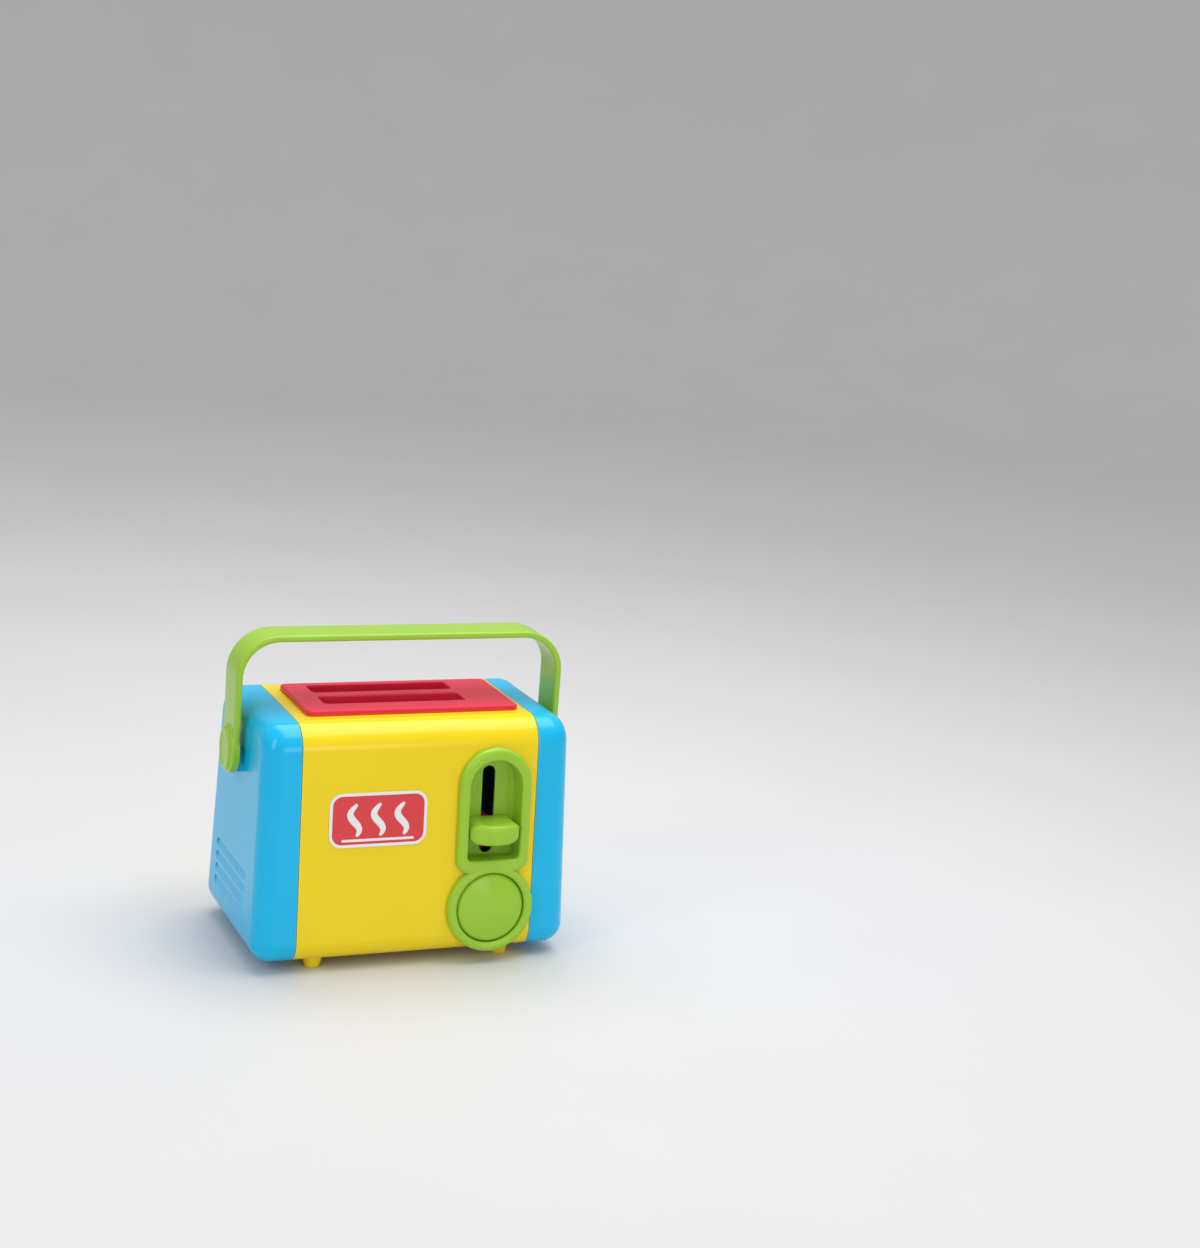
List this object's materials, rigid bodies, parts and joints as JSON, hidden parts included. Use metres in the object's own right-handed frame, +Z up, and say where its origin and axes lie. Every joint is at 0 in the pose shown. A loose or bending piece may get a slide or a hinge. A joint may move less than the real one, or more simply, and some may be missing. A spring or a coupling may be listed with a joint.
{
  "type": "toy toaster",
  "caption": "Toy pop-up toaster with slots for play toast, a slide lever on rods and springs, a release button that works a latch, and a swinging carry handle.",
  "frame": {"origin": "middle of the bounding box's bottom, on the plane that the feet stand on", "axes": "+X to the right in a front view, towards the controls' end; +Y to the back; +Z up"},
  "size_m": [0.2186, 0.1395, 0.2],
  "materials": {
    "yellow_plastic": "gloss moulded plastic, yellow",
    "blue_plastic": "gloss moulded plastic, sky blue",
    "green_plastic": "gloss moulded plastic, leaf green",
    "red_plastic": "gloss moulded plastic, red",
    "steel": "zinc plated steel",
    "spring_steel": "drawn spring wire",
    "label": "printed self-adhesive film"
  },
  "bodies": {
    "body": {"body_shell": "yellow_plastic", "base_plate": "yellow_plastic", "base_screw_1": "steel", "base_screw_2": "steel", "base_screw_3": "steel", "base_screw_4": "steel", "right_end_cap": "blue_plastic", "left_end_cap": "blue_plastic", "slot_panel": "red_plastic", "panel_screw_1": "steel", "panel_screw_2": "steel", "panel_screw_3": "steel", "control_bezel": "green_plastic", "bezel_screw_1": "steel", "bezel_screw_2": "steel", "bezel_screw_3": "steel", "button_spring": "spring_steel", "guide_rod_left": "steel", "guide_rod_right": "steel", "lift_spring_left": "spring_steel", "lift_spring_right": "spring_steel", "latch_pin": "steel", "latch_spring": "spring_steel", "front_label": "label"},
    "carriage": {"toast_carriage": "red_plastic", "lever_knob": "green_plastic"},
    "button": {"release_button": "green_plastic", "button_clip": "spring_steel"},
    "latch": {"latch_hook": "steel"},
    "handle": {"carry_handle": "green_plastic", "pivot_washer_right": "steel", "pivot_washer_left": "steel", "pivot_screw_right": "steel", "pivot_screw_left": "steel"}
  },
  "joints": [
    {"name": "carriage_slide", "type": "slide", "parent": "body", "child": "carriage", "axis": [0, 0, 1], "range_m": [0, 0.03], "deforming": ["lift_spring_left", "lift_spring_right"]},
    {"name": "button_press", "type": "slide", "parent": "body", "child": "button", "axis": [0, 0.9985, -0.054], "range_m": [-0.001, 0.0035], "stiffness_N_per_m": 400, "deforming": ["button_spring"]},
    {"name": "latch_pivot", "type": "hinge", "parent": "body", "child": "latch", "pos_m": [0.0475, -0.03366, 0.04671], "axis": [1, 0, 0], "range_deg": [-5, 17], "deforming": ["latch_spring"]},
    {"name": "handle_swing", "type": "hinge", "parent": "body", "child": "handle", "pos_m": [0, 0.00522, 0.119], "axis": [1, 0, 0], "range_deg": [-111, 91]}
  ],
  "couplings": [
    {"joint": "latch_pivot", "follows": "button_press", "rad_per_m": 83.333}
  ]
}
